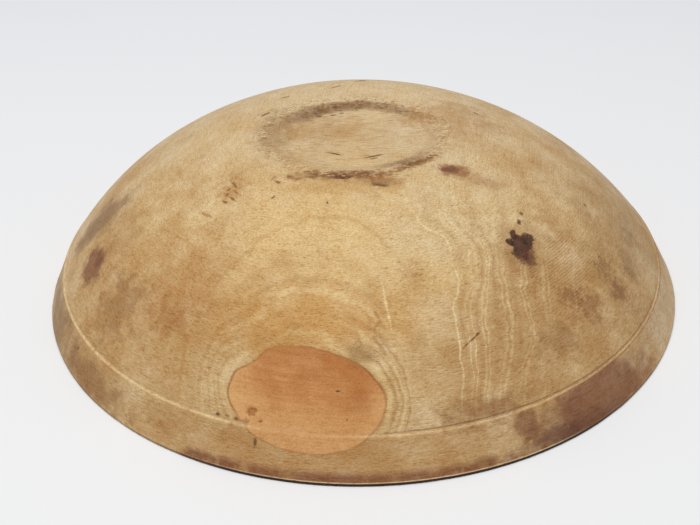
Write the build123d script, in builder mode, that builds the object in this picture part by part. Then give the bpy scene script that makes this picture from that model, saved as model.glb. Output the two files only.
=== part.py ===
from build123d import *
import os

os.makedirs("parts", exist_ok=True)

# Turned wooden dough bowl, in millimetres. It stands mouth down on its rim, with the foot on top.
# The origin is the centre of the mouth, in the plane of the rim, and +Z is the axis that it was turned about.

# Overall form
rim_diameter = 400
bowl_height = 100.5

# Foot: a flat ring that the bowl stands on in use, round a shallow hollow
foot_diameter = 124
foot_ring_width = 10
foot_hollow_depth = 3.5
foot_hollow_wall = 6
# The hollow was cleared by hand: it runs wider across the grain, along X, and sits nearer to the front.
foot_hollow_stretch = 2.5
foot_hollow_shift = -6

# Outside: the foot turns over a shoulder into one long flank
shoulder_radius = 76
shoulder_sweep = 18

# Rim band: a plain flared band below a turned groove
band_height = 22.7
band_flare = 12.4
groove_width = 2.4
groove_depth = 1
groove_lean = 45

# Lip: a short, steep edge face, cut in a little towards the flat face that the rim rests on
rim_width = 13
lip_edge_height = 1.5
lip_bevel = 0.6
lip_round = 4

# Inside: a nearly flat floor, a shoulder, and a flank that follows the outside
floor_thickness = 13
inside_floor_radius = 1000
inside_floor_sweep = 4
inside_shoulder_radius = 100
inside_shoulder_sweep = 20

# Places worked out from the sizes above: first value outward from the axis, second value up from the rim
rim_radius = rim_diameter / 2
foot_radius = foot_diameter / 2
inside_height = bowl_height - foot_hollow_depth - floor_thickness

groove_bed = Vector(rim_radius - band_flare, band_height)
groove_along = Vector(1, 0).rotate(Axis.Z, -groove_lean) * (groove_width / 2)
groove_out = Vector(0, 1).rotate(Axis.Z, -groove_lean) * groove_depth
groove_upper_edge = groove_bed + groove_out - groove_along
groove_lower_edge = groove_bed + groove_out + groove_along

lip_edge = (rim_radius, lip_edge_height)
rest_outer_edge = (rim_radius - lip_bevel, 0)
rest_inner_edge = (rim_radius - rim_width, 0)

hollow_width = foot_radius - foot_ring_width
hollow_length = hollow_width + foot_hollow_stretch

# Bowl: one section turned about the axis
with BuildPart() as bowl:
    with BuildSketch(Plane.XZ) as section:
        with BuildLine():
            # Outside, from the axis out and down to the lip
            foot = Line((0, bowl_height), (foot_radius, bowl_height))
            shoulder = JernArc(foot @ 1, foot % 1, shoulder_radius, -shoulder_sweep)
            TangentArc(shoulder @ 1, groove_upper_edge, tangent=shoulder % 1)
            Polyline(groove_upper_edge, groove_bed, groove_lower_edge)
            Polyline(groove_lower_edge, lip_edge, rest_outer_edge, rest_inner_edge)
            # Inside, from the axis out and down to the same rim
            inside_floor = JernArc((0, inside_height), (1, 0), inside_floor_radius, -inside_floor_sweep)
            inside_shoulder = JernArc(
                inside_floor @ 1, inside_floor % 1, inside_shoulder_radius, -inside_shoulder_sweep
            )
            TangentArc(inside_shoulder @ 1, rest_inner_edge, tangent=inside_shoulder % 1)
            Line(inside_floor @ 0, foot @ 0)
        make_face()
        # The lip is rounded over into the mouth.
        lip_corner = section.vertices().sort_by_distance(rest_inner_edge)[0]
        fillet(lip_corner, radius=lip_round)
    revolve(axis=Axis.Z)

    # Hollow of the foot, with walls that slope in to its floor
    with BuildSketch(Plane.XY.offset(bowl_height)) as hollow_mouth:
        with Locations((0, foot_hollow_shift)):
            Ellipse(hollow_length, hollow_width)
    with BuildSketch(Plane.XY.offset(bowl_height - foot_hollow_depth)) as hollow_floor:
        with Locations((0, foot_hollow_shift)):
            Ellipse(hollow_length - foot_hollow_wall, hollow_width - foot_hollow_wall)
    loft(ruled=True, mode=Mode.SUBTRACT)
bowl.part.label = "bowl"
export_step(bowl.part, "parts/bowl.step")
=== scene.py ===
import math

import bpy
import numpy as np
from mathutils import Matrix, Vector, noise


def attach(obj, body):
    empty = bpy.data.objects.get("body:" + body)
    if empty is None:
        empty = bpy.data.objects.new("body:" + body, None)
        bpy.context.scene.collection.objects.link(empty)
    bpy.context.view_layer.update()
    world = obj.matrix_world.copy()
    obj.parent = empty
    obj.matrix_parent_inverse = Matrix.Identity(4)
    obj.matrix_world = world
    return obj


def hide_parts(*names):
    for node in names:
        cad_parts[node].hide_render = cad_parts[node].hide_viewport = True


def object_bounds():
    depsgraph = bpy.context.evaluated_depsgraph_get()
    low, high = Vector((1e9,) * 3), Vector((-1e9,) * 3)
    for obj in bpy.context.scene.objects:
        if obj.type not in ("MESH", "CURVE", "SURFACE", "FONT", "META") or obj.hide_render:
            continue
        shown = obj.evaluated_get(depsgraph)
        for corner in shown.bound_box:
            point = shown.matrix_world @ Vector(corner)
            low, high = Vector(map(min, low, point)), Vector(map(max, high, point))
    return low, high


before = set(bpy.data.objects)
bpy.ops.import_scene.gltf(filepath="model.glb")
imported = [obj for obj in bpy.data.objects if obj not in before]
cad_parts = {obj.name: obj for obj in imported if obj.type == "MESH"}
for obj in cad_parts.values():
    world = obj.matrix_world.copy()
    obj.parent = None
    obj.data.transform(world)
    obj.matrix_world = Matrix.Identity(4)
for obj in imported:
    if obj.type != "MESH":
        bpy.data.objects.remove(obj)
cad_low, cad_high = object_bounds()

# Sizes and places are in millimetres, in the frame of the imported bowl: it stands mouth down on z = 0,
# the viewer is at -Y, and +X is to the viewer's right. mm turns them into metres.
mm = 0.001

# Turned line of the bowl
rim_radius = (cad_high.x - cad_low.x) / 2 / mm
bowl_height = cad_high.z / mm
foot_radius = 62
shoulder_radius = 76
shoulder_sweep = math.radians(18)
band_height = 22.7
band_flare = 12.4
groove_width = 2.4
groove_depth = 1
groove_lean = math.radians(45)
rim_width = 13
lip_edge_height = 1.5
lip_bevel = 0.1
lip_round = 2.2
floor_thickness = 13
inside_floor_radius = 1000
inside_floor_sweep = math.radians(4)
inside_shoulder_radius = 100
inside_shoulder_sweep = math.radians(20)

# Hollow of the foot
hollow_depth = 3.5
hollow_length = 54.5
hollow_width = 52
hollow_forward = 6
hollow_wall = 11
torn_share = 0.1
tear_size = 3.4
tear_depth = 0.5

# Wear: the dome has moved to one side as it dried, and years of use have rounded its edges
lean = -0.0377
worn_edge = 0.3
hand_wear = 0.3
hand_wear_size = 55
lip_wear_reach = 2.5
lip_knock_size = 16
lip_knock_depth = 0.3

# Marks of the tools: ripple and chatter of the gouge, and rings on the floor of the hollow
ripple_pitch = 5.5
ripple_depth = 0.045
ripple_drift_size = 40
chatter_pitch = 1.5
floor_ring_middle = -6
floor_ring_pitch = 3.4
floor_ring_depth = 0.05

# Fineness of the mesh
line_step = 0.2
ring_gap_outside = 1.3
ring_gap_inside = 2.9
ring_gap_edges = 0.5
edges_reach = 4
steps_round = 320

# Wood: the log's pith runs front to back through the rim, with the heartwood flattened round it. The groove
# runs out where the heart crosses it, and the rings are faint about the middle of the crown. Heights of all
# that is in the wood, and of its dents and stains, are measured from the edge of the lip.
pith = (-29.4, -175, 33.1)
pith_turn = math.radians(-9.65)
heart_half_width = 40.2
heart_half_height = 20.0
heart_length = 1000
heart_tilt = math.radians(3.0)
heart_at_groove = -28
heart_at_groove_reach = 38
crown_middle = 22

# Growth rings: lengths and reaches of their sway, a finer wiggle, and the sizes of the places that break them
ring_sways = ((62, 3), (21, 2.5))
wiggle_length = 8
wiggle_reach = 1.3
ring_break_size = (16, 50, 16)

# Marks round the axis: their widths, and how many follow one another in a radian
short_mark_width = 0.5
short_marks_round = 58
long_mark_width = 1.8
long_marks_round = 8

# Sizes of the wood's other patterns, some of them by X, Y and Z
fibre_size = (0.9, 26, 0.9)
speckle_size = 0.65
mottling_size = 11
cloud_size = 34
heart_waver_length = 16
heart_cloud_size = 15
heart_streak_size = (20, 20, 2.2)
dirt_patch_size = 7
fray_size = (3.2, 1.6, 1.6)
floor_mark_size = (8, 0.7, 2)

# Camera: distances from the centre of the mouth, and the picture's width in pixels at its focal length
camera_back = 556.3
camera_up = 362.9
aim_left = 7.75
aim_up = 3.7
camera_roll = math.radians(-1.4)
picture_width = 700
focal_pixels = 1000
sensor_width = 36

# Floor and light, in metres and watts
floor_reach = 6.0
room_light = 0.36
lamp_width = 2.4
lamp_power = 52
lamp_place = Vector((-0.25, -0.4, 2.6))


def after_bend(start, heading, radius, sweep):
    """End of an arc that leaves start at a heading and bends to the right, and its heading there."""
    end_heading = heading - sweep
    across = math.sin(heading) - math.sin(end_heading)
    up = math.cos(end_heading) - math.cos(heading)
    return (start[0] + radius * across, start[1] + radius * up), end_heading


def arc(start, heading, end):
    """Points of the one arc that leaves start at a heading and reaches end."""
    chord = np.subtract(end, start)
    length = math.hypot(*chord)
    turn = 2 * (math.atan2(chord[1], chord[0]) - heading)
    part = np.linspace(0, 1, round(length / line_step))
    reach = length * np.sin(turn * part / 2) / math.sin(turn / 2)
    angle = heading + turn * part / 2
    return np.stack([start[0] + reach * np.cos(angle), start[1] + reach * np.sin(angle)], axis=1)


def straight(start, end):
    """Points of a straight line."""
    length = math.hypot(end[0] - start[0], end[1] - start[1])
    return np.linspace(start, end, max(2, round(length / line_step)))


def rounded(line, reach):
    """The same line with its corners worn round over about the given reach."""
    half = math.ceil(3 * reach / line_step)
    weights = np.exp(-0.5 * (np.arange(-half, half + 1) * line_step / reach) ** 2)
    padded = np.pad(line, ((half, half), (0, 0)), mode="reflect", reflect_type="odd")
    return np.stack([np.convolve(padded[:, k], weights / weights.sum(), "valid") for k in range(2)], axis=1)


def lengths(line):
    """Distance of each point along its line."""
    return np.concatenate([[0], np.cumsum(np.hypot(*np.diff(line, axis=0).T))])


def turned_line():
    """The bowl's section from the middle of the foot over the lip to the middle of the inside.

    Gives its points (outward, up), how far along the line each one is, and the places of the marks on it.
    """
    foot_edge = (foot_radius, bowl_height)
    shoulder_end, flank_heading = after_bend(foot_edge, 0, shoulder_radius, shoulder_sweep)
    along_groove = np.array([math.cos(groove_lean), -math.sin(groove_lean)]) * groove_width / 2
    out_of_groove = np.array([math.sin(groove_lean), math.cos(groove_lean)]) * groove_depth
    bed = np.array([rim_radius - band_flare, band_height])
    upper_edge = bed + out_of_groove - along_groove
    lower_edge = bed + out_of_groove + along_groove
    lip = (rim_radius, lip_edge_height)
    rest_outer = (rim_radius - lip_bevel, 0)
    rest_inner = (rim_radius - rim_width, 0)

    inside_top = (0, bowl_height - hollow_depth - floor_thickness)
    floor_end, shoulder_heading = after_bend(inside_top, 0, inside_floor_radius, inside_floor_sweep)
    inside_end, inside_heading = after_bend(
        floor_end, shoulder_heading, inside_shoulder_radius, inside_shoulder_sweep
    )
    parts = {
        "foot": straight((0, bowl_height), foot_edge),
        "shoulder": arc(foot_edge, 0, shoulder_end),
        "flank": arc(shoulder_end, flank_heading, upper_edge),
        "groove_upper": straight(upper_edge, bed),
        "groove_lower": straight(bed, lower_edge),
        "band": straight(lower_edge, lip),
        "bevel": straight(lip, rest_outer),
        "rest": straight(rest_outer, rest_inner),
        "inside_flank": arc(inside_end, inside_heading, rest_inner)[::-1],
        "inside_shoulder": arc(floor_end, shoulder_heading, inside_end)[::-1],
        "inside_floor": arc(inside_top, 0, floor_end)[::-1],
    }
    sharp = np.concatenate(list(parts.values()))
    along = lengths(sharp)
    ends = np.cumsum([len(points) for points in parts.values()]) - 1
    marks = dict(zip(parts, along[ends]))

    # The inner edge of the lip is rounded over far more than the rest.
    mouth_edge = np.exp(-(((along - marks["rest"]) / (3 * lip_round)) ** 2))[:, None]
    line = rounded(sharp, worn_edge) * (1 - mouth_edge) + rounded(sharp, lip_round) * mouth_edge

    # Rings sit close together at the groove and the lip, and further apart on the plain curves.
    gap = np.where(along < marks["bevel"], ring_gap_outside, ring_gap_inside)
    for mark in ("groove_upper", "band", "bevel"):
        near = np.exp(-(((along - marks[mark]) / edges_reach) ** 2))
        gap = gap * (1 - near) + ring_gap_edges * near
    count = np.cumsum(np.gradient(along) / gap)
    rings = np.interp(np.arange(1, int(count[-1])), count, along)
    points = np.stack([np.interp(rings, along, line[:, k]) for k in range(2)], axis=1)
    return points, rings, marks


def mottle(places, size, shift=0.0):
    """Smooth unevenness between -1 and 1 at each place, with lumps about one size across."""
    offset = Vector((shift, 2 * shift, 3 * shift))
    flat = (places / size).reshape(-1, 3)
    return np.array([noise.noise(Vector(p) + offset) for p in flat]).reshape(places.shape[:-1])


def ease(value):
    """Eases a value from 0 to 1 in and out, and holds it there beyond."""
    value = np.clip(value, 0, 1)
    return value * value * (3 - 2 * value)


def distance_to_stroke(places, start, end):
    """Distance of each place from the straight stroke between two points."""
    start, end = np.array(start, float), np.array(end, float)
    way = end - start
    part = np.clip(((places - start) @ way) / max(way @ way, 1e-9), 0, 1)
    return np.linalg.norm(places - start - part[..., None] * way, axis=-1)


# Dents and torn places, as strokes: start, end, half width, depth and share of dirt in them
dents = {
    "floor gouge left": ((-19.5, -23, 99), (-11, -27.5, 99), 0.8, 0.4, 0.2),
    "floor gouge right": ((2, -32.5, 99), (13.5, -27.5, 99), 0.8, 0.4, 0.2),
    "pit at the near wall": ((-12.5, -60, 99), (-8.5, -61, 99), 1.9, 1.1, 0.5),
    "pit on the near ring": ((8, -69, 98.4), (14, -70, 98.4), 1.6, 0.9, 0.9),
    "tear on the near ring": ((-48, -63, 97.5), (-45, -65, 97.5), 1.0, 0.5, 0.1),
    "nick below the ring": ((-18, -82, 95), (-18, -86, 95), 0.8, 0.6, 0.5),
    "nick left of it": ((-49, -73, 95), (-46, -76, 95), 0.9, 0.5, 0.1),
    "tear behind the hollow": ((-63, 24, 98), (-58, 26, 98), 1.1, 0.5, 0.6),
    "sunk knot": ((46, -51, 98), (57, -55, 96), 2.6, 0.6, 0.0),
    "nick in the band": ((-162, -104, 17), (-163, -103, 12), 0.8, 0.4, 0.0),
    "chip at the heartwood": ((-55, -183, 17), (-55, -185, 13), 1.2, 0.5, 0.0),
}


def turned(radial, up):
    """Carries values along the turned line round the axis."""
    angle = np.arange(steps_round) / steps_round * 2 * math.pi
    across = radial[:, None] * np.cos(angle)
    back = radial[:, None] * np.sin(angle)
    return np.stack([across, back, np.repeat(up[:, None], steps_round, 1)], axis=-1)


def foot_hollow(places, outside):
    """Hollow of the foot, cleared by hand, with torn wood round its edge and a darker wall.

    Gives how far the wood drops at each place, and the shares of cleared wood, torn wood and darker wall.
    """
    hollow_x = (places[..., 0] - lean * bowl_height) / hollow_length
    hollow_y = (places[..., 1] + hollow_forward) / hollow_width
    reach = np.hypot(hollow_x, hollow_y)
    ragged = 0.05 * mottle(places, 13, 2.3) + 0.035 * mottle(places, 4.5, 7.7)
    soft_side = np.clip(ease(0.3 - hollow_x) + 0.7 * ease(-1.2 * hollow_y), 0, 1)
    wall_share = hollow_wall / hollow_length * (1 + 0.8 * soft_side)
    cleared = ease((1 + ragged - reach) / wall_share) * outside
    torn = np.exp(-(((reach - 1.0) / torn_share) ** 2)) * outside
    from_ring_middle = np.hypot(places[..., 0] - floor_ring_middle, places[..., 1])
    floor_rings = np.sin(2 * math.pi * from_ring_middle / floor_ring_pitch)
    drop = hollow_depth * cleared * (0.93 + 0.1 * mottle(places, 24, 4.4))
    drop += cleared * floor_ring_depth * (1 + floor_rings)
    tears = np.abs(mottle(places, tear_size, 6.1))
    drop += torn * (0.3 + tear_depth * tears + 0.2 * mottle(places, 9, 8.3))

    # The hollow's wall is darker, most of it at the back and in the middle of the front.
    at_left = ease(-1.6 * hollow_x - 0.6)
    darkened = ease((1 + 0.04 * at_left + ragged - reach) / (wall_share * (1 - 0.5 * at_left))) * outside
    wall = 1 - np.abs(2 * darkened - 1) ** 4
    back_darkening = ease(1.6 * hollow_y + 0.5 - 1.4 * np.clip(hollow_x, 0, 1)) * ease(1.2 + 0.9 * hollow_x)
    back_darkening *= 1 - 0.35 * ease(2 * hollow_x)
    front_darkening = ease(1.8 * -hollow_y - 0.5) * ease(2.0 * hollow_x - 0.2)
    wall_darkening = wall * np.clip(back_darkening + front_darkening, 0.08, 1)
    return drop, cleared, torn, wall_darkening


def skin(rings):
    """Faces between each ring and the next, and round the middle points of the foot and the inside."""
    middle_foot, middle_inside = rings * steps_round, rings * steps_round + 1
    here = np.arange(steps_round)
    after = (here + 1) % steps_round
    faces = []
    for ring in range(rings - 1):
        row, below = ring * steps_round, (ring + 1) * steps_round
        faces += np.stack([row + here, below + here, below + after, row + after], axis=1).tolist()
    end_row = (rings - 1) * steps_round
    faces += [(middle_foot, a, b) for a, b in zip(here.tolist(), after.tolist())]
    faces += [(middle_inside, end_row + b, end_row + a) for a, b in zip(here.tolist(), after.tolist())]
    return faces


def bowl_mesh():
    """The whole bowl, turned and then worn, with what its wood needs to know at each point."""
    line, along, marks = turned_line()
    slope = np.gradient(line, axis=0)
    slope /= np.linalg.norm(slope, axis=1)[:, None]
    outward = np.stack([-slope[:, 1], slope[:, 0]], axis=1)

    places = turned(line[:, 0], line[:, 1])
    places[..., 0] += lean * places[..., 2]
    normals = turned(outward[:, 0], outward[:, 1])
    along_line = np.repeat(along[:, None], steps_round, 1)
    outside = along_line < marks["bevel"]

    # Slow hand wear and the broad ripple that the gouge left, both only ever cut into the turned form.
    lip_wear = np.exp(-(((along_line - marks["band"]) / lip_wear_reach) ** 2))
    cut = hand_wear * (0.5 + 0.5 * mottle(places, hand_wear_size)) * (1 - lip_wear)
    drift = mottle(places, ripple_drift_size, 3.1)
    ripple = 1 + np.sin(2 * math.pi * along_line / ripple_pitch + 3 * drift)
    cut += ripple_depth * ripple * (0.6 + 0.4 * drift)

    # The lip is knocked and worn here and there.
    knocks = np.clip(mottle(places, lip_knock_size, 5.2), 0, 1)
    cut += lip_wear * (0.08 + lip_knock_depth * knocks + 0.08 * mottle(places, 6, 1.7))

    # The groove runs out where the heartwood crosses it.
    from_bed = np.abs(along_line - marks["groove_upper"]) / (groove_width / 2 + 0.3)
    from_heart = (places[..., 0] - heart_at_groove) / heart_at_groove_reach
    over_heart = np.exp(-(from_heart ** 4)) * (places[..., 1] < 0)
    filled = np.clip(0.75 * over_heart + 0.3 * np.clip(mottle(places, 30, 9.4), 0, 1), 0, 1)
    cut -= filled * groove_depth * np.clip(1 - from_bed, 0, 1)

    drop, cleared, torn, wall_darkening = foot_hollow(places, outside)

    pits = np.zeros(along_line.shape)
    from_lip = places - np.array([0, 0, lip_edge_height])
    for start, end, half_width, depth, dirt in dents.values():
        dent = np.exp(-((distance_to_stroke(from_lip, start, end) / half_width) ** 2)) * outside
        pits += dirt * dent
        cut += depth * dent

    shape = places - normals * cut[..., None]
    shape[..., 2] -= drop

    # Two middle points close the foot and the inside.
    middle_foot = shape[0].mean(0)
    middle_inside = shape[-1].mean(0)
    points = np.concatenate([shape.reshape(-1, 3), [middle_foot, middle_inside]]) * mm

    mesh = bpy.data.meshes.new("bowl_worn")
    mesh.from_pydata(points.tolist(), [], skin(len(line)))
    mesh.shade_smooth()
    told = {
        "along": (along_line, along[0], along[-1]),
        "wall_darkening": (wall_darkening, 0, 0),
        "hollow_floor": (cleared, 1, 0),
        "torn": (torn, 0, 0),
        "pit": (pits, 0, 0),
        "groove_left": (1 - filled, 1, 1),
    }
    for name, (values, at_foot, at_inside) in told.items():
        at_points = np.concatenate([values.ravel(), [at_foot, at_inside]])
        layer = mesh.attributes.new(name, "FLOAT", "POINT")
        layer.data.foreach_set("value", at_points.astype(np.float32))
    return mesh, marks


def linear(colour):
    """Linear red, green, blue and alpha of an sRGB hex colour."""
    parts = [int(colour[k:k + 2], 16) / 255 for k in (1, 3, 5)]
    return tuple(c / 12.92 if c <= 0.04045 else ((c + 0.055) / 1.055) ** 2.4 for c in parts) + (1.0,)


def put(tree, kind, feeds=(), out=0, stops=None, **settings):
    """Adds one node with its settings, feeds its inputs by number or name, and gives back one output."""
    node = tree.nodes.new("ShaderNode" + kind)
    for name, value in settings.items():
        setattr(node, name, value)
    for key, value in feeds.items() if isinstance(feeds, dict) else enumerate(feeds):
        if isinstance(value, bpy.types.NodeSocket):
            tree.links.new(value, node.inputs[key])
        else:
            node.inputs[key].default_value = value
    if stops:
        ramp = node.color_ramp.elements
        while len(ramp) < len(stops):
            ramp.new(1.0)
        for element, (position, colour) in zip(ramp, stops):
            element.position = position
            element.color = linear(colour)
    return node.outputs[out]


# Settings that many nodes share. A ramp is fed with a value, where it starts and ends, and what it gives
# there, which is 0 and 1 unless told. It eases in and out, and holds its ends without a clamp. A coat is one
# colour laid over another by its amount.
eased = {"interpolation_type": "SMOOTHSTEP", "clamp": False}
times = {"operation": "MULTIPLY"}
times_plus = {"operation": "MULTIPLY_ADD"}
coat = {"out": 2, "data_type": "RGBA"}

# A stain may stray, and fade, as far out as this many times its reach.
farthest_stray = 3.0


def blotch(tree, place, at, size, turn=(0, 0, 0), edge=0.5, ragged=0.3, lobe=6.0):
    """Amount, 0 to 1, of a stain centred at a place, with its reach along its own X, Y and Z.

    edge is the share of its reach over which it fades, ragged is how far its outline strays, and lobe is the
    size of the lobes of that outline.
    """
    whole = [farthest_stray * reach for reach in size]
    own_frame = {"Vector": place, "Location": at, "Rotation": turn, "Scale": whole}
    local = put(tree, "Mapping", own_frame, vector_type="TEXTURE")
    inward = put(tree, "TexGradient", {"Vector": local}, out="Fac", gradient_type="SPHERICAL")
    lobes = put(tree, "TexNoise", {"Vector": place, "Scale": 1 / lobe, "Detail": 3}, normalize=False)
    strayed = put(tree, "Math", [lobes, -ragged / farthest_stray, inward], **times_plus)
    fade_start = 1 - (1 + edge / 2) / farthest_stray
    fade_end = 1 - (1 - edge / 2) / farthest_stray
    return put(tree, "MapRange", [strayed, fade_start, fade_end], **eased)


def stroke(tree, place, start, end, half_width, edge=0.8, ragged=0.5, lobe=3.0):
    """Amount, 0 to 1, of a thin straight mark between two points."""
    start, end = Vector(start), Vector(end)
    way = end - start
    turn = way.to_track_quat("X", "Z").to_euler()
    size = (way.length / 2, half_width, half_width)
    return blotch(tree, place, (start + end) / 2, size, turn, edge, ragged, lobe)


def line_about(tree, value, middle, half_width, core, strength=1.0):
    """Amount, up to a strength, of a line about the middle of a value: full in its core, and then fading."""
    off = put(tree, "Math", [value, middle], operation="SUBTRACT")
    off = put(tree, "Math", [off], operation="ABSOLUTE")
    return put(tree, "MapRange", [off, half_width, core, 0, strength], **eased)


# Growth rings: how far outside the heart each one grew, its half width, strength and colour
heart_rings = [(2.3, 2.2, 0.7, "#f2dfb0")]
right_rings = [
    (5.0, 0.8, 0.4, "#b58b57"),
    (6.8, 1.1, 0.45, "#efdcae"),
    (8.4, 0.7, 0.35, "#b58b57"),
    (10.3, 1.1, 0.75, "#f2dfb0"),
    (13.4, 1.1, 0.35, "#ae824e"),
    (15.4, 1.1, 0.4, "#eddaae"),
]
arching_rings = [
    (18.7, 1.6, 0.45, "#fbebc2"),
    (22.3, 1.6, 0.3, "#b98f58"),
    (28.0, 4.0, 0.25, "#c89f63"),
    (38.2, 3.2, 0.35, "#f4e0b0"),
    (42.4, 1.4, 0.3, "#c79f65"),
    (47.0, 2.6, 0.28, "#f0deb4"),
    (54.0, 1.6, 0.25, "#eddcb5"),
]
clear_rings = [
    (61.5, 1.1, 0.95, "#fff2d2"),
    (66.0, 2.2, 0.3, "#b98f5c"),
    (70.0, 0.8, 0.7, "#fdefcc"),
    (73.3, 0.8, 0.7, "#fdefcc"),
    (76.4, 1.4, 0.35, "#b98f5c"),
    (79.2, 0.9, 0.75, "#fdefcc"),
    (81.6, 0.8, 0.65, "#fdefcc"),
    (85.0, 1.6, 0.35, "#b38a58"),
    (88.2, 0.8, 0.65, "#fdefcc"),
    (90.6, 1.0, 0.8, "#fdefcc"),
    (94.4, 1.7, 0.35, "#b38a58"),
    (98.4, 0.8, 0.65, "#fbecc8"),
    (100.4, 1.0, 0.75, "#fbecc8"),
    (104.2, 1.6, 0.3, "#b38a58"),
    (108.0, 0.9, 0.6, "#f8e8c4"),
    (110.2, 0.7, 0.5, "#f8e8c4"),
    (124.7, 0.9, 0.5, "#f5e4c0"),
]

# Swells of the growth rings: place, reach, and how much growth they add, which draws the rings in
swells = {
    "high at the right": ((49, -115, 77), (20, 20, 16), -7.2),
    "middle of the right": ((48, -148, 55), (18, 18, 14), 3.0),
    "low at the right": ((62, -163, 37), (42, 20, 12), 3.0),
    "shoulder left of the heart": ((-57, -142, 58), (15, 12, 9), 5.0),
    "top of the heart": ((-28, -151, 58), (17, 8, 7), -2.4),
    "left of the heart": ((-72, -158, 38), (8, 10, 11), -1.8),
}

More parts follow.
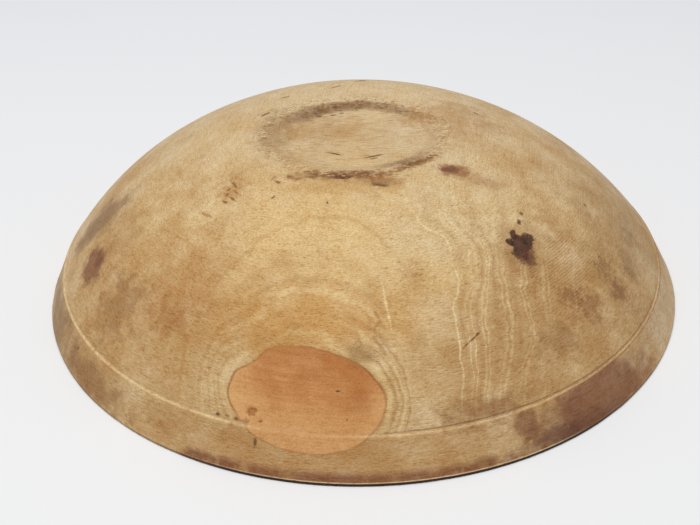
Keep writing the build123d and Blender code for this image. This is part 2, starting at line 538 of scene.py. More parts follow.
# Stains, knots and scorched spots, on the whole bowl and then on the rim band only: place, reach along X, Y
# and Z, colour, strength, and the edge, raggedness and lobes of the outline
stains = {
    "tan of the lower left": ((-120, -110, 50), (55, 50, 40), "#c79c63", 0.5, 1.6, 0.9, 22),
    "tan of the lower right": ((105, -125, 42), (60, 55, 36), "#bf9a6c", 0.5, 1.5, 0.9, 22),
    "tan of the far right": ((160, -30, 50), (40, 70, 40), "#b89a74", 0.5, 1.5, 0.7, 22),
    "halo of the blot": ((87, -98, 73), (15, 18, 14), "#a98050", 0.45, 1.3, 0.5, 8),
    "blot": ((86, -97, 73.5), (5.6, 8, 7.5), "#4a2e2a", 0.92, 0.4, 0.4, 3.5),
    "blot upper lobe": ((82.6, -91, 77.4), (2.0, 3.2, 2.6), "#4a2e2a", 0.9, 0.5, 0.4, 3),
    "blot left lobe": ((80, -96.5, 76), (2.4, 2.4, 2.4), "#432622", 0.9, 0.5, 0.4, 3),
    "blot right lobe": ((91, -91, 74), (3.8, 4.4, 4), "#4a2e2a", 0.9, 0.5, 0.5, 3),
    "blot lower lobe": ((89.5, -103, 70), (5, 5, 5), "#6a433b", 0.8, 0.8, 0.5, 3),
    "dry middle of the blot": ((85, -96, 74.6), (2.2, 2.4, 2.2), "#70504a", 0.6, 0.9, 0.6, 2),
    "first drip": ((89, -75, 81), (1.1, 1.3, 1.3), "#6d4a33", 0.75, 0.8, 0.2, 2),
    "second drip": ((87, -82, 80), (1.3, 2.0, 1.7), "#5f402e", 0.9, 0.7, 0.3, 2),
    "pale of the left crown": ((-85, 0, 96), (26, 28, 12), "#eddcb8", 0.42, 1.4, 0.5, 10),
    "rust spot": ((-157.5, -63.5, 43.5), (10.5, 13, 11), "#8d5a42", 0.78, 0.6, 0.3, 5),
    "rust spot tip": ((-153, -63, 48.5), (5, 6, 5), "#7a4936", 0.6, 0.8, 0.4, 4),
    "grey streak": ((-160, -25, 51), (25, 14, 25), "#8b6c50", 0.7, 1.1, 0.5, 12),
    "tan of the upper left": ((-141, -58, 60), (17, 18, 14), "#bb9562", 0.5, 1.4, 0.8, 9),
    "tan of the right shoulder": ((62, 12, 97), (20, 26, 8), "#bd9a70", 0.5, 1.4, 0.8, 8),
    "speck cluster": ((-72, -63, 92), (8, 9, 8), "#b98a52", 0.5, 1.3, 0.9, 4),
    "sunk knot": ((53, -52.5, 97), (9.5, 6.2, 6), "#96623d", 0.78, 0.9, 0.4, 4),
    "dark of the knot": ((51, -52, 97.4), (5.4, 2.8, 3.6), "#70412f", 0.7, 0.9, 0.5, 3),
    "pale eye of the knot": ((55.5, -55.2, 96.2), (1.5, 1.2, 1.5), "#b88a64", 0.7, 0.9, 0.4, 2),
    "knot tail": ((68, -58, 93), (12, 5, 6), "#b58658", 0.5, 1.4, 0.6, 6),
    "near wall smudge": ((-11, -59, 98), (27, 5.4, 6), "#8c5e38", 0.92, 1.2, 0.7, 5),
    "tan of the near ring": ((-10, -70, 98), (32, 8, 6), "#cda872", 0.4, 1.4, 0.8, 6),
    "dark of the near wall": ((-10.5, -60.5, 98.5), (6, 2.2, 3), "#74492f", 0.8, 0.9, 0.5, 3),
    "near ring smudge": ((11, -66, 98), (10, 4.5, 4), "#a87848", 0.7, 1.3, 0.6, 4),
    "grey of the hollow": ((-52, 0, 97), (10, 27, 7), "#a98d68", 0.5, 1.3, 0.7, 7),
    "tan of the hollow's right wall": ((37, 21, 97), (12, 10, 5), "#bd9058", 0.5, 1.3, 0.6, 5),
    "brown blotch high": ((111, -113.5, 51.5), (5.5, 5, 5), "#90593a", 0.52, 1.2, 0.9, 3),
    "brown blotch low": ((123, -113, 44), (8, 8, 7), "#8e5c3b", 0.48, 1.2, 0.9, 4),
    "brown blotch right": ((144, -92, 40), (6, 7, 5.5), "#85583f", 0.58, 1.2, 0.7, 4),
    "brown streak of the right": ((136, -84, 50), (5, 7, 6), "#866340", 0.45, 1.2, 1.0, 3),
    "grey streak of the right high": ((161, -40, 44), (6, 13, 8), "#8e7555", 0.45, 1.2, 0.9, 4),
    "grey streak of the right low": ((155, -70, 41), (6, 9, 7), "#8e7555", 0.45, 1.2, 0.9, 4),
    "low right blotch": ((104, -137, 40), (12, 9, 10), "#9f7345", 0.45, 1.3, 0.9, 7),
    "left blotch": ((-134, -104, 43), (17, 16, 16), "#9a7247", 0.52, 1.4, 0.9, 7),
    "left orange blotch": ((-102, -125, 51), (12, 9, 10), "#b27c40", 0.55, 1.4, 0.9, 7),
    "tan over the heart": ((-95, -115, 66), (26, 16, 14), "#c18d4f", 0.45, 1.6, 0.8, 12),
    "tan of the hollow floor": ((-20, 6, 97), (25, 15, 6), "#c39a64", 0.5, 1.3, 0.6, 7),
    "grey of the far right": ((155, -58, 46), (9, 30, 15), "#b09876", 0.25, 1.3, 0.8, 7),
    "pale edge of the far right": ((168, -48, 34), (8, 40, 14), "#cdb591", 0.55, 1.3, 0.6, 9),
    "dirt over the groove": ((62, -176, 25), (26, 12, 5.5), "#9a6b3e", 0.65, 1.4, 0.7, 7),
    "ring knot in the heart": ((-56.4, -174.8, 27), (2.6, 2.2, 2.3), "#8a4f2c", 0.7, 0.6, 0.6, 2),
    "middle of the ring knot": ((-56, -174.8, 26.8), (1.7, 1.6, 1.4), "#cf955f", 0.9, 0.6, 0.3, 2),
    "tan left of the heart's top": ((-46, -151, 54), (14, 8, 6), "#c6985a", 0.6, 1.3, 0.4, 6),
    "red of the heart": ((-3, -176.5, 35), (8, 6, 4), "#b06d38", 0.2, 1.3, 0.6, 4),
    "grey by the heart": ((-1, -160, 51), (6, 8, 5), "#a3804e", 0.6, 1.2, 0.5, 6),
    "resin by the groove": ((-60, -179, 23), (2.2, 2.2, 2.2), "#8e5a38", 0.6, 1.0, 0.6, 2),
}
band_stains = {
    "wet stain": ((128.5, -146, 8), (31.5, 24, 22), "#8f6150", 0.77, 0.65, 0.35, 12),
    "wet stain left": ((105, -163, 8), (15, 12, 15), "#8f6350", 0.5, 0.7, 0.5, 9),
    "wet stain edge": ((82.5, -173, 15), (8, 8, 7), "#906450", 0.62, 0.7, 0.5, 6),
    "wet stain edge below": ((89.5, -175, 7.5), (7.5, 7, 6.5), "#8c5f4c", 0.62, 0.7, 0.5, 5),
    "dark of the wet stain": ((112, -164, 1), (46, 40, 5.5), "#5f3d36", 0.45, 1.4, 0.5, 10),
    "foot of the wet stain": ((102, -171, 3.5), (13, 8, 6), "#70473b", 0.62, 1.0, 0.4, 6),
    "wet stain fade": ((152, -124, 6), (17, 17, 10), "#976c52", 0.6, 1.1, 0.5, 8),
    "grey of the left band": ((-184, -60, 10), (20, 46, 16), "#8f7457", 0.6, 1.3, 0.6, 12),
    "brown of the left band": ((-150, -122, 6), (30, 30, 9), "#a27c55", 0.7, 1.3, 0.7, 9),
    "pale patch": ((28, -192, 12), (12, 10, 7), "#dcc096", 0.5, 1.3, 0.6, 6),
    "pale patch right": ((172, -70, 12), (20, 46, 12), "#dccbb2", 0.68, 1.4, 0.7, 9),
}

# Thin marks: start, end, half width, colour and strength
thin_marks = {
    "pale scratch": ((10.2, -131.2, 73.4), (14.2, -150.3, 59.5), 0.75, "#fbeac4", 0.95),
    "top of the swirl": ((5.8, -143.5, 65.3), (8.8, -147.2, 62.3), 0.9, "#ad7f49", 0.55),
    "bend of the swirl": ((8.8, -147.2, 62.3), (4.3, -153.0, 57.9), 0.9, "#ad7f49", 0.45),
    "foot of the swirl": ((4.3, -153.0, 57.9), (11.9, -161.7, 49.9), 1.0, "#ad7f49", 0.5),
    "pale of the swirl": ((-0.9, -152.2, 58.7), (2.0, -157.3, 54.3), 1.8, "#f3e0b4", 0.6),
    "dark crack": ((50.6, -154.4, 49.2), (59.8, -146.3, 53.0), 0.5, "#6b4526", 0.85),
    "nick in the heart": ((-14.2, -173.3, 38.2), (-11.6, -173.5, 38.2), 0.6, "#4a2c1c", 0.9),
    "pale nick in the heart": ((-29, -174.2, 35.5), (-24, -174.6, 35.5), 0.5, "#e8bd86", 0.7),
    "pore by the groove": ((-53, -178.3, 23.9), (-50.6, -178.7, 23.7), 0.9, "#7d4728", 0.7),
    "pore at the right": ((-9.2, -182.5, 27.6), (-8, -182.9, 27.2), 0.8, "#8a4f2c", 0.7),
    "first groove tick": ((-75.2, -171.2, 22.8), (-73, -172.2, 22.6), 1.2, "#63392a", 0.88),
    "second groove tick": ((-70.5, -172.6, 23), (-67.5, -174, 22.8), 1.0, "#73452b", 0.85),
    "third groove tick": ((-67, -174, 22.8), (-62.5, -176.2, 22.5), 1.1, "#73402a", 0.85),
    "tick behind the hollow": ((-61, 21.5, 98.7), (-57, 27, 98.7), 0.9, "#6f4c2e", 0.8),
    "far tick": ((-51.5, 49.5, 98.4), (-45, 52.5, 98.6), 0.9, "#92704a", 0.7),
    "far tick right of it": ((-19, 64, 98.6), (-11.5, 69.5, 98.3), 0.9, "#92704a", 0.7),
    "nick at the far edge": ((-2, 80.5, 96.5), (6.5, 86.5, 94.5), 1.6, "#6b4a30", 0.8),
    "tick at the far right": ((72.6, 27, 96.4), (75.5, 23, 96), 0.9, "#7b5634", 0.7),
    "speck over the band": ((131.5, -43, 67), (133, -41.5, 66.5), 1.0, "#7b5634", 0.75),
    "grain tick high": ((-74.5, -148, 47), (-72, -146.5, 49), 0.6, "#805931", 0.7),
    "grain tick low": ((-82, -150, 41.5), (-80.8, -147.5, 44), 0.7, "#805931", 0.65),
    "nick below the ring": ((-18.4, -82.5, 95.6), (-18.0, -86, 95), 0.6, "#5d3d22", 0.85),
    # Painted shade and shadow of a step at the near right of the hollow
    "shade of the step at the right of the hollow": ((14, -59, 98), (46, -35, 98), 4.2, "#a87f52", 0.75),
    "shadow of the step": ((22, -53, 97.5), (43, -37, 97.5), 2.3, "#84603d", 0.75),
    "first speck": ((-72.8, -56, 94.1), (-69.3, -61.7, 93.5), 0.8, "#94602f", 0.8),
    "second speck": ((-75, -62.2, 92.1), (-72.8, -61.4, 92.7), 0.8, "#94602f", 0.75),
    "third speck": ((-75.2, -64.6, 91.3), (-74.2, -66, 91.1), 0.8, "#7d4d24", 0.8),
    "fourth speck": ((-73.2, -67.8, 91), (-69, -72.5, 90.8), 0.8, "#94602f", 0.8),
    "fifth speck": ((-77.8, -68.8, 89.4), (-73.8, -72.4, 89.4), 0.8, "#94602f", 0.8),
    "sixth speck": ((-70.8, -64, 92.7), (-68, -67.5, 92.5), 0.8, "#a87440", 0.7),
    "low speck": ((-89, -73, 84), (-82.4, -79, 84.6), 0.9, "#b5854a", 0.7),
    "tick over the specks": ((-48, -62, 97.6), (-44.3, -65, 97.5), 0.8, "#94602f", 0.8),
    "tick beside the specks": ((-48.8, -76.5, 94.3), (-47.2, -73.8, 95.1), 0.7, "#8a5a2c", 0.85),
    "floor cut left": ((-19.4, -23.2, 95.5), (-11.1, -27.5, 95.5), 0.75, "#75502f", 0.85),
    "floor cut right": ((2, -32.3, 95.5), (13.5, -27.7, 95.5), 0.75, "#75502f", 0.85),
    "floor cut beside it": ((6.2, -33.6, 95.5), (10.6, -32, 95.5), 0.7, "#75502f", 0.8),
    "first fleck": ((-27.6, 26.3, 95.6), (-23.2, 26.9, 95.6), 1.0, "#6f5238", 0.75),
    "second fleck": ((-18.2, 28.2, 95.6), (-14.3, 28.8, 95.6), 1.0, "#6f5238", 0.75),
    "third fleck": ((-12.6, 31, 95.6), (-9.2, 31.6, 95.6), 1.0, "#6f5238", 0.7),
    "band tick": ((-162, -104, 17), (-163, -103, 12), 0.6, "#5b432d", 0.7),
    "band chip": ((-54.6, -183, 17), (-55.4, -185.5, 12), 1.0, "#5e4531", 0.75),
}


def turned_maple(marks):
    """Old maple, turned and scrubbed bare.

    Dry open wood with no varnish: even, matt colour with little shine, growth rings as thin pale lines, an
    orange heart, short marks of the gouge round the axis, and kitchen stains.
    """
    material = bpy.data.materials.new("turned_maple")
    material.use_nodes = True
    tree = material.node_tree
    shader = tree.nodes["Principled BSDF"]

    spot = put(tree, "TexCoord", out="Object")
    from_lip = {"Vector": spot, "Location": (0, 0, -lip_edge_height), "Scale": (1 / mm, 1 / mm, 1 / mm)}
    place = put(tree, "Mapping", from_lip)
    to_right = put(tree, "SeparateXYZ", [place], out="X")
    along = put(tree, "Attribute", out="Fac", attribute_name="along")
    bed = marks["groove_upper"]
    lip = marks["band"]
    on_band = put(tree, "MapRange", [along, bed, bed + 1.2], **eased)
    on_dome = put(tree, "MapRange", [along, bed + 1, bed - 1], **eased)
    inside = put(tree, "MapRange", [along, lip + 14, lip + 20], **eased)
    off_band = put(tree, "Math", [on_dome, inside], operation="MAXIMUM")

    # Log: the grain runs along Y, with the flattened heart about the pith.
    along_log = {"Vector": place, "Location": pith, "Rotation": (0, 0, pith_turn)}
    log = put(tree, "Mapping", along_log, vector_type="TEXTURE")
    log_end = put(tree, "VectorMath", [log, (1, 0, 1)], **times)
    from_pith = put(tree, "VectorMath", [log_end], out="Value", operation="LENGTH")
    about_heart = {
        "Vector": place,
        "Location": pith,
        "Rotation": (0, heart_tilt, pith_turn),
        "Scale": (heart_half_width, heart_length, heart_half_height),
    }
    heart_at = put(tree, "Mapping", about_heart, vector_type="TEXTURE")
    heart_side = put(tree, "SeparateXYZ", [heart_at], out="X")
    heart_up = put(tree, "SeparateXYZ", [heart_at], out="Z")
    heart_end = put(tree, "VectorMath", [heart_at, (1, 0, 1)], **times)
    heart_reach = put(tree, "VectorMath", [heart_end], out="Value", operation="LENGTH")

    # Growth: how far outside the heart a place is. Rings are as flat as the heart close to it and rounder
    # further out, with a slow sway, a fine wiggle, and a few swells.
    heart_radius = put(tree, "Math", [from_pith, heart_reach], operation="DIVIDE")
    flatness = put(tree, "MapRange", [from_pith, 45, 95, 1.0, 0.25], **eased)
    flat_radius = put(tree, "Math", [heart_radius, flatness], **times)
    growth = put(tree, "Math", [from_pith, flat_radius], operation="SUBTRACT")
    loose = put(tree, "MapRange", [from_pith, 35, 90, 0.2], **eased)
    for length, reach in ring_sways:
        bend = put(tree, "TexNoise", {"Vector": log, "Scale": 1 / length, "Detail": 0}, normalize=False)
        bend = put(tree, "Math", [bend, reach], **times)
        growth = put(tree, "Math", [bend, loose, growth], **times_plus)
    wiggle = put(tree, "TexNoise", {"Vector": log, "Scale": 1 / wiggle_length, "Detail": 1}, normalize=False)
    growth = put(tree, "Math", [wiggle, wiggle_reach, growth], **times_plus)
    for at, size, push in swells.values():
        swell = blotch(tree, place, at, size, edge=1.0, ragged=0.0)
        growth = put(tree, "Math", [swell, push, growth], **times_plus)

    # Marks round the axis from gouge and scrubbing, long and short, and fibres along the log. The finest are
    # drawn about half a millimetre wide, coarser than the real scratches, so that they show.
    level = put(tree, "VectorMath", [place, (1, 1, 0)], **times)
    way_round = put(tree, "VectorMath", [level], operation="NORMALIZE")
    line_place = put(tree, "CombineXYZ", {"Z": along})
    short_line = put(tree, "VectorMath", {0: line_place, "Scale": 1 / short_mark_width}, operation="SCALE")
    short_at = put(tree, "VectorMath", [way_round, (short_marks_round,) * 3, short_line], **times_plus)
    short_marks = put(tree, "TexNoise", {"Vector": short_at, "Scale": 1, "Detail": 2, "Roughness": 0.7})
    long_line = put(tree, "VectorMath", {0: line_place, "Scale": 1 / long_mark_width}, operation="SCALE")
    long_at = put(tree, "VectorMath", [way_round, (long_marks_round,) * 3, long_line], **times_plus)
    long_marks = put(tree, "TexNoise", {"Vector": long_at, "Scale": 1, "Detail": 3, "Roughness": 0.65})
    fibre_at = put(tree, "VectorMath", [log, [1 / size for size in fibre_size]], **times)
    uneven = {"Vector": fibre_at, "Scale": 1, "Detail": 2, "Roughness": 0.6, "Distortion": 0.5}
    fibres = put(tree, "TexNoise", uneven)
    hollow_floor = put(tree, "Attribute", out="Fac", attribute_name="hollow_floor")
    off_floor = put(tree, "Math", [hollow_floor, -0.75, 1.0], **times_plus)
    fibres = put(tree, "Math", [fibres, 0.5], operation="SUBTRACT")
    fibres = put(tree, "Math", [fibres, off_floor, 0.5], **times_plus)
    pores = {"Vector": place, "Scale": 1 / speckle_size, "Detail": 2, "Roughness": 0.75}
    speckle = put(tree, "TexNoise", pores)
    handling = {"Vector": place, "Scale": 1 / mottling_size, "Detail": 5, "Roughness": 0.6}
    mottling = put(tree, "TexNoise", handling)

    # Sapwood colour: pale straw to tan, in cloudy handled areas, gold at the front of the crown and over the
    # heart, paler behind with a painted sheen, and tan on the front of the rim band
    broad = put(tree, "TexNoise", {"Vector": place, "Scale": 1 / cloud_size, "Detail": 5, "Roughness": 0.6})
    straws = [(0.34, "#cdab7d"), (0.5, "#dcc39b"), (0.64, "#e9d6b6")]
    wood = put(tree, "ValToRGB", {"Fac": broad}, stops=straws)
    clouds = [
        (blotch(tree, place, (-18, -98, 86), (80, 58, 40), edge=1.5, ragged=0.6, lobe=26), "#eed6a6"),
        (blotch(tree, place, (50, -80, 85), (44, 44, 32), edge=1.6, ragged=0.6, lobe=20), "#ead9b6"),
        (blotch(tree, place, (-104, -72, 78), (44, 40, 28), edge=1.6, ragged=0.7, lobe=20), "#ebd7b0"),
        # Paler and greyer behind the foot: painted sheen of the bright room on the far crown
        (blotch(tree, place, (0, 45, 99), (120, 85, 45), edge=1.5, ragged=0.6, lobe=26), "#e8dac0"),
    ]
    tan_of_band = blotch(tree, place, (-18, -190, 12), (112, 32, 22), edge=1.4, ragged=0.6, lobe=14)
    tan_of_band = put(tree, "Math", [tan_of_band, 0.5], **times)
    clouds.append((put(tree, "Math", [tan_of_band, on_band], **times), "#c69862"))
    gold = blotch(tree, place, (-30, -145, 60), (44, 20, 15), edge=1.3, ragged=0.5, lobe=14)
    clouds.append((put(tree, "Math", [gold, 0.75], **times), "#d6a862"))
    for amount, colour in clouds:
        wood = put(tree, "Mix", {0: amount, 6: wood, 7: linear(colour)}, **coat)

    # Growth rings, broken here and there. The one next to the heart shows all round it, the next ones at its
    # right and more faintly at its left, and the arching ones over it as far as the swirl. The outer ones are
    # clear at the right, and faint at the left and on the crown, where the wood has been handled most.
    broken_at = put(tree, "VectorMath", [log, [1 / size for size in ring_break_size]], **times)
    broken = put(tree, "TexNoise", {"Vector": broken_at, "Scale": 1, "Detail": 2})
    shown = put(tree, "MapRange", [broken, 0.25, 0.48, 0.35], **eased)
    soft_shown = put(tree, "MapRange", [heart_side, -0.8, 0.8, 0.55], **eased)
    soft_shown = put(tree, "Math", [soft_shown, off_band], **times)
    clear_shown = put(tree, "MapRange", [to_right, -20, 30, 0.15], **eased)
    band_shown = put(tree, "MapRange", [to_right, 60, 80, 0, 0.45], **eased)
    ring_shown = put(tree, "Math", [off_band, band_shown], operation="MAXIMUM")
    away = put(tree, "SeparateXYZ", [place], out="Y")
    from_crown = put(tree, "Math", [away, crown_middle], operation="SUBTRACT")
    from_crown = put(tree, "Math", [from_crown], operation="ABSOLUTE")
    off_crown = put(tree, "MapRange", [from_crown, 85, 135, 0.1], **eased)
    up = put(tree, "SeparateXYZ", [place], out="Z")
    off_low = put(tree, "MapRange", [up, 28, 56, 0.5], **eased)
    for share in (ring_shown, off_crown, off_low):
        clear_shown = put(tree, "Math", [clear_shown, share], **times)
    over_heart = put(tree, "MapRange", [heart_up, 0.7, 1.5, 0.1], **eased)
    left_of_heart = put(tree, "MapRange", [heart_side, -0.6, -1.1, 0, 0.65], **eased)
    arch_shown = put(tree, "Math", [over_heart, left_of_heart], operation="MAXIMUM")
    left_of_swirl = put(tree, "MapRange", [heart_side, 1.1, 0.6, 0.35], **eased)
    arch_shown = put(tree, "Math", [arch_shown, left_of_swirl], **times)
    arch_shown = put(tree, "Math", [arch_shown, off_band], **times)
    right_shown = put(tree, "MapRange", [heart_side, 0.2, 0.8, 0.15], **eased)
    right_shown = put(tree, "Math", [right_shown, left_of_heart], operation="MAXIMUM")
    right_shown = put(tree, "Math", [right_shown, off_band], **times)
    ring_groups = (
        (heart_rings, soft_shown),
        (right_rings, right_shown),
        (arching_rings, arch_shown),
        (clear_rings, clear_shown),
    )
    for rings, clearness in ring_groups:
        clearness = put(tree, "Math", [clearness, shown], **times)
        for middle, half_width, strength, colour in rings:
            amount = line_about(tree, growth, middle, half_width, half_width * 0.2, strength)
            amount = put(tree, "Math", [amount, clearness], **times)
            wood = put(tree, "Mix", {0: amount, 6: wood, 7: linear(colour)}, **coat)

    # Heart: redder at its top and right, lighter at its bottom, its left and along its border, with a thin
    # dark edge that is clearer here and there
    waver = {"Vector": place, "Scale": 1 / heart_waver_length, "Detail": 1}
    heart_waver = put(tree, "TexNoise", waver, normalize=False)
    heart_out = put(tree, "Math", [heart_waver, 0.035, heart_reach], **times_plus)
    heart_dent = blotch(tree, place, (-57.5, -156.5, 46.5), (8, 9, 5), edge=1.4, ragged=0.0)
    heart_out = put(tree, "Math", [heart_dent, 0.07, heart_out], **times_plus)
    heart = put(tree, "MapRange", [heart_out, 1.015, 0.985], **eased)
    heart_broad = put(tree, "TexNoise", {"Vector": place, "Scale": 1 / heart_cloud_size, "Detail": 4})
    streak_at = put(tree, "VectorMath", [place, [1 / size for size in heart_streak_size]], **times)
    heart_streaks = put(tree, "TexNoise", {"Vector": streak_at, "Scale": 1, "Detail": 3, "Roughness": 0.6})
    heart_tone = 0.06
    for part, strength in ((heart_broad, 0.5), (heart_streaks, 0.35), (heart_up, -0.28), (heart_side, -0.06)):
        heart_tone = put(tree, "Math", [part, strength, heart_tone], **times_plus)
    border = put(tree, "MapRange", [heart_reach, 0.72, 0.98, 0, 0.22], **eased)
    below_top = put(tree, "MapRange", [heart_up, 0.75, 0.2, 0.1], **eased)
    heart_tone = put(tree, "Math", [border, below_top, heart_tone], **times_plus)
    oranges = [(0.25, "#c88951"), (0.5, "#dfac78"), (0.75, "#eabd8b")]
    heart_wood = put(tree, "ValToRGB", {"Fac": heart_tone}, stops=oranges)
    wood = put(tree, "Mix", {0: heart, 6: wood, 7: heart_wood}, **coat)
    heart_edge = line_about(tree, heart_out, 0.995, 0.03, 0)
    edge_shown = put(tree, "MapRange", [broken, 0.35, 0.65, 0.3, 0.65], **eased)
    heart_edge = put(tree, "Math", [heart_edge, edge_shown], **times)
    wood = put(tree, "Mix", {0: heart_edge, 6: wood, 7: linear("#9c6a38")}, **coat)

    # Stains over the whole bowl and on the rim band only, and thin marks
    for kept_to, group in ((None, stains), (on_band, band_stains)):
        for at, size, colour, strength, edge, ragged, lobe in group.values():
            amount = blotch(tree, place, at, size, (0, 0, 0), edge, ragged, lobe)
            amount = put(tree, "Math", [amount, strength], **times)
            if kept_to:
                amount = put(tree, "Math", [amount, kept_to], **times)
            wood = put(tree, "Mix", {0: amount, 6: wood, 7: linear(colour)}, **coat)
    for begin, finish, half_width, colour, strength in thin_marks.values():
        amount = stroke(tree, place, begin, finish, half_width)
        amount = put(tree, "Math", [amount, strength], **times)
        wood = put(tree, "Mix", {0: amount, 6: wood, 7: linear(colour)}, **coat)

    # Darker patches in the hollow's wall, dirt in the pits, and frayed wood round the hollow
    patches = {"Vector": place, "Scale": 1 / dirt_patch_size, "Detail": 4, "Roughness": 0.65}
    patchy = put(tree, "TexNoise", patches)
    frayed_at = put(tree, "VectorMath", [place, [1 / size for size in fray_size]], **times)
    frayed = put(tree, "TexNoise", {"Vector": frayed_at, "Scale": 1, "Detail": 3, "Roughness": 0.7})
    torn = put(tree, "Attribute", out="Fac", attribute_name="torn")
    pale_fray = put(tree, "MapRange", [frayed, 0.54, 0.64, 0, 0.85], **eased)
    dark_fray = put(tree, "MapRange", [frayed, 0.47, 0.36, 0, 0.85], **eased)
    wall_darkening = put(tree, "Attribute", out="Fac", attribute_name="wall_darkening")
    thick_darkening = put(tree, "MapRange", [patchy, 0.3, 0.6, 0.72], **eased)
    wall_darkening = put(tree, "Math", [wall_darkening, thick_darkening], **times)
    pit = put(tree, "Attribute", out="Fac", attribute_name="pit")
    # Marks laid over the wood in turn: wear, dirt and torn wood, and further on painted shade and highlight
    # at the groove and lip
    worn = [
        (put(tree, "Math", [wall_darkening, 0.92], **times), "#86603d"),
        (put(tree, "Math", [wall_darkening, dark_fray], **times), "#6f4c31"),
        (put(tree, "Math", [wall_darkening, pale_fray], **times), "#ac8a63"),
        (put(tree, "Math", [torn, pale_fray], **times), "#efdfc0"),
        (put(tree, "Math", [torn, dark_fray], **times), "#9b7449"),
        (put(tree, "Math", [pit, 0.9], operation="MULTIPLY", use_clamp=True), "#5f3f2a"),
    ]

    # Lines round the bowl: a clean, pale groove with a dark line beside it, which is dirt and painted shade
    # at the front right and painted shade only at the far right, and a worn pale lip with a painted highlight
    # over a painted shadow on its edge face, with brown smudges above them at the front
    groove_left = put(tree, "Attribute", out="Fac", attribute_name="groove_left")
    in_patches = put(tree, "MapRange", [patchy, 0.3, 0.55, 0.3], **eased)
    groove_left = put(tree, "Math", [groove_left, in_patches], **times)
    front_right = put(tree, "MapRange", [to_right, -20, 60, 0.1, 0.6], **eased)
    far_right = put(tree, "MapRange", [to_right, 80, 130, 0, 0.6], **eased)
    smudged = blotch(tree, place, (-12, -198, 3), (92, 36, 16), edge=0.8, ragged=0.9, lobe=11)
    above_lip = put(tree, "MapRange", [along, lip - 8, lip - 3, 0, 0.72], **eased)
    above_lip = put(tree, "Math", [above_lip, on_band], **times)
    smudged = put(tree, "Math", [smudged, above_lip], **times)
    smudge_left = put(tree, "MapRange", [patchy, 0.3, 0.55, 0.6], **eased)
    worn.append((put(tree, "Math", [smudged, smudge_left], **times), "#7d3f30"))
    # The lip's pale arris is worn clean and carries a painted highlight, shown at the front and faded at the
    # sides
    lip_wear_and_highlight = put(tree, "MapRange", [to_right, -110, -20, 0.1, 0.85], **eased)
    not_stained = put(tree, "MapRange", [to_right, 120, 90, 0.1], **eased)
    lip_wear_and_highlight = put(tree, "Math", [lip_wear_and_highlight, not_stained], **times)
    groove_clean = put(tree, "MapRange", [to_right, -20, 30, 0.8, 0.4], **eased)
    groove_clean = put(tree, "Math", [far_right, -0.3, groove_clean], **times_plus)
    lines = [
        (bed, 2.0, put(tree, "Math", [groove_left, groove_clean], **times), "#f4e2bc"),
        # Dark lines beside the groove: dirt with painted shade at the front right, painted shade only at the
        # far right
        (bed - 1.2, 0.6, put(tree, "Math", [groove_left, front_right], **times), "#8f5a30"),
        (bed + 1.5, 0.6, put(tree, "Math", [groove_left, far_right], **times), "#83613f"),
        (lip - 0.7, 0.4, lip_wear_and_highlight, "#f2e2c4"),
    ]
    for middle, half_width, strength, colour in lines:
        amount = line_about(tree, along, middle, half_width, half_width * 0.4)
        worn.append((put(tree, "Math", [amount, strength], **times), colour))
    # Painted shadow on the lip's edge face, darkest at the front, for the shade where the lip meets the floor
    lip_shadow = put(tree, "MapRange", [along, lip - 0.5, lip - 0.15], **eased)
    from_front = put(tree, "Math", [to_right, -20], operation="ADD")
    from_front = put(tree, "Math", [from_front], operation="ABSOLUTE")
    shadow_at_front = put(tree, "MapRange", [from_front, 140, 85, 0.3], **eased)
    lip_shadow = put(tree, "Math", [lip_shadow, shadow_at_front], **times)
    above_rest = put(tree, "MapRange", [along, lip + 3, lip + 1.5], **eased)
    worn.append((put(tree, "Math", [lip_shadow, above_rest], **times), "#351f17"))
    for amount, colour in worn:
        wood = put(tree, "Mix", {0: amount, 6: wood, 7: linear(colour)}, **coat)

    # Dark dashes: marks straight across the floor of the hollow, open grain along the marks of the gouge, and
    # a patch of chatter at the right
    floor_at = put(tree, "VectorMath", [place, [1 / size for size in floor_mark_size]], **times)
    floor_marks = put(tree, "TexNoise", {"Vector": floor_at, "Scale": 1, "Detail": 2, "Roughness": 0.7})
    floor_dash = put(tree, "MapRange", [floor_marks, 0.46, 0.32, 0, 0.7], **eased)
    floor_dash = put(tree, "Math", [floor_dash, hollow_floor], **times)
    round_dash = put(tree, "MapRange", [short_marks, 0.42, 0.28, 0, 0.4], **eased)
    off_heart = put(tree, "Math", [heart, -0.6, 1.0], **times_plus)
    round_dash = put(tree, "Math", [round_dash, off_heart], **times)
    chatter = put(tree, "Math", [along, 2 * math.pi / chatter_pitch], **times)
    chatter = put(tree, "Math", [long_marks, 5, chatter], **times_plus)
    chatter = put(tree, "Math", [chatter], operation="SINE")
    chatter = put(tree, "MapRange", [chatter, -0.2, 0.8, 0, 0.33], **eased)
    chattered = blotch(tree, place, (110, -97, 60), (24, 22, 16), edge=1.3, ragged=1.2, lobe=7)
    chatter = put(tree, "Math", [chatter, chattered], **times)
    for amount in (floor_dash, round_dash, chatter):
        wood = put(tree, "Mix", {0: amount, 6: wood, 7: linear("#b9986c")}, **coat, blend_type="MULTIPLY")

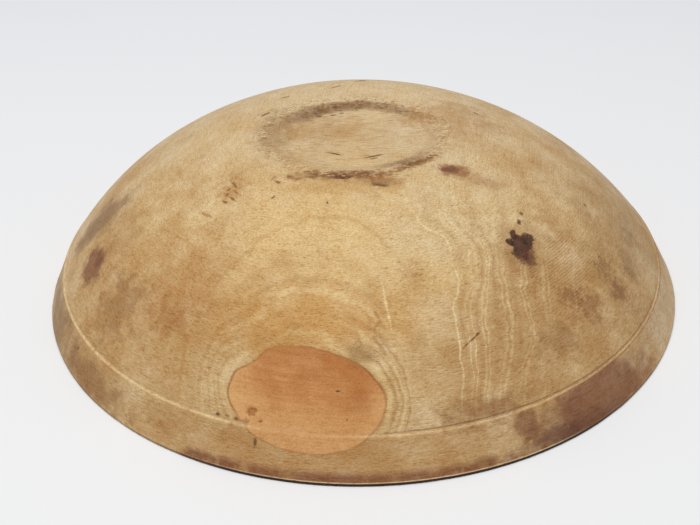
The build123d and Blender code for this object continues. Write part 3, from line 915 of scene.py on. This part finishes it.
    # Fine tone: the marks, fibres and open pores take the wood from clean to warm brown, each with a strength
    # of its own
    calm_marks = put(tree, "Math", [short_marks, 0.5], operation="SUBTRACT")
    calm_marks = put(tree, "Math", [calm_marks, off_heart, 0.5], **times_plus)
    strengths = [(calm_marks, 1.0), (long_marks, 0.35), (fibres, 0.4), (speckle, 0.72), (mottling, 0.4)]
    tone = 0.5 - sum(strength for _, strength in strengths) / 2
    for pattern, strength in strengths:
        tone = put(tree, "Math", [pattern, strength, tone], **times_plus)
    tints = [(0.1, "#c4a06c"), (0.5, "#e9d9bd"), (0.9, "#ffffff")]
    tint = put(tree, "ValToRGB", {"Fac": tone}, stops=tints)
    wood = put(tree, "Mix", {0: 1.0, 6: wood, 7: tint}, **coat, blend_type="MULTIPLY")

    # Bump: marks round the axis and fibres
    height = put(tree, "Math", [short_marks, 0.8, fibres], **times_plus)
    height = put(tree, "Math", [long_marks, 1.5, height], **times_plus)
    bump = put(tree, "Bump", {"Strength": 0.3, "Distance": 0.25 * mm, "Height": height}, out="Normal")
    tree.links.new(bump, shader.inputs["Normal"])
    tree.links.new(wood, shader.inputs["Base Color"])
    shine = put(tree, "MapRange", [broad, 0.3, 0.7, 0.62, 0.5], **eased)
    tree.links.new(shine, shader.inputs["Roughness"])
    shader.inputs["IOR"].default_value = 1.5
    shader.inputs["Specular IOR Level"].default_value = 0.25
    return material


def pale_floor():
    """Smooth white studio sheet, with painted shade that makes it a little darker towards the back."""
    material = bpy.data.materials.new("studio_sheet")
    material.use_nodes = True
    tree = material.node_tree
    shader = tree.nodes["Principled BSDF"]
    spot = put(tree, "TexCoord", out="Object")
    back = put(tree, "SeparateXYZ", [spot], out="Y")
    far = put(tree, "MapRange", [back, -0.4, 0.9], **eased)
    sheet = put(tree, "ValToRGB", {"Fac": far}, stops=[(0.0, "#f1f2f3"), (1.0, "#eeeff3")])
    tree.links.new(sheet, shader.inputs["Base Color"])
    shader.inputs["Roughness"].default_value = 0.9
    shader.inputs["Specular IOR Level"].default_value = 0.0
    return material


# Bowl
mesh, marks = bowl_mesh()
bowl = bpy.data.objects.new("bowl_worn", mesh)
bpy.context.scene.collection.objects.link(bowl)
mesh.materials.append(turned_maple(marks))
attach(bowl, "root")
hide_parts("bowl")

# Floor
floor_mesh = bpy.data.meshes.new("floor")
corners = [(-1, -1), (1, -1), (1, 1), (-1, 1)]
floor_mesh.from_pydata([(x * floor_reach, y * floor_reach, 0) for x, y in corners], [], [(0, 1, 2, 3)])
floor = bpy.data.objects.new("floor", floor_mesh)
floor_mesh.materials.append(pale_floor())
bpy.context.scene.collection.objects.link(floor)

# Light: an even pale room and one broad soft lamp overhead
world = bpy.data.worlds.new("studio")
bpy.context.scene.world = world
world.use_nodes = True
world.node_tree.nodes["Background"].inputs["Color"].default_value = linear("#ffffff")
world.node_tree.nodes["Background"].inputs["Strength"].default_value = room_light
lamp = bpy.data.lights.new("soft_lamp", "AREA")
lamp.shape = "DISK"
lamp.size = lamp_width
lamp.energy = lamp_power
overhead = bpy.data.objects.new("soft_lamp", lamp)
overhead.location = lamp_place
overhead.rotation_euler = (-lamp_place).to_track_quat("-Z", "Y").to_euler()
bpy.context.scene.collection.objects.link(overhead)

# Camera
camera_data = bpy.data.cameras.new("camera")
camera_data.sensor_width = sensor_width
camera_data.lens = focal_pixels / picture_width * sensor_width
camera_data.clip_start = 0.01
camera = bpy.data.objects.new("camera", camera_data)
stand = Vector((0, -camera_back, camera_up)) * mm
aim = Vector((-aim_left, 0, aim_up)) * mm
turn = (aim - stand).to_track_quat("-Z", "Y").to_matrix().to_4x4()
camera.matrix_world = Matrix.Translation(stand) @ turn @ Matrix.Rotation(camera_roll, 4, "Z")
bpy.context.scene.collection.objects.link(camera)
bpy.context.scene.camera = camera
bpy.context.scene.view_settings.view_transform = "Standard"
